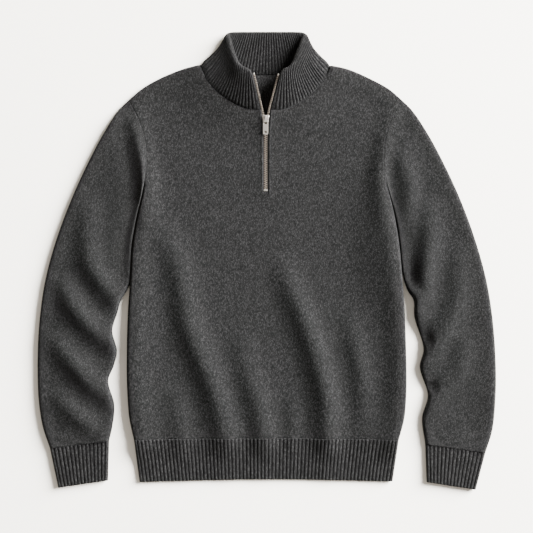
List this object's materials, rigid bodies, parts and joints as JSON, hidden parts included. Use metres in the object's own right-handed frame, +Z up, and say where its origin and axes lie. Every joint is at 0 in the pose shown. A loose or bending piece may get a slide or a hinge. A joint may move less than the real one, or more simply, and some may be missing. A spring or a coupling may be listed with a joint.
{
  "type": "quarter zip sweater laid flat",
  "caption": "Knitted quarter zip sweater laid flat on its back, front up, with ribbed mock neck collar, cuffs and hem, and a metal zip with a hinged pull tab.",
  "frame": {"origin": "on the surface the garment lies on, under the middle of its outline", "axes": "+Z up from that surface, +Y towards the neck, +X towards the wearer's left sleeve"},
  "size_m": [0.8025, 0.8008, 0.0369],
  "materials": {
    "knit": "charcoal melange stockinette knit",
    "rib": "charcoal melange rib knit",
    "tape": "woven zip tape",
    "metal": "antique nickel plate"
  },
  "bodies": {
    "sweater": {"back": "knit", "front": "knit", "sleeve_right": "knit", "sleeve_left": "knit", "hem_rib_back": "rib", "hem_rib_front": "rib", "cuff_right": "rib", "cuff_left": "rib", "collar": "rib", "zip_tape_right": "tape", "zip_tape_left": "tape", "zip_chain_closed": "metal", "zip_chain_right": "metal", "zip_chain_left": "metal", "zip_stop_bottom": "metal", "zip_stop_top_right": "metal", "zip_stop_top_left": "metal", "zip_slider": "metal"},
    "pull_tab": {"zip_pull_tab": "metal"}
  },
  "joints": [
    {"name": "pull_tab_hinge", "type": "hinge", "parent": "sweater", "child": "pull_tab", "pos_m": [-0.0014, 0.24943, 0.01679], "axis": [-1, 0, 0], "range_deg": [0, 160]}
  ]
}
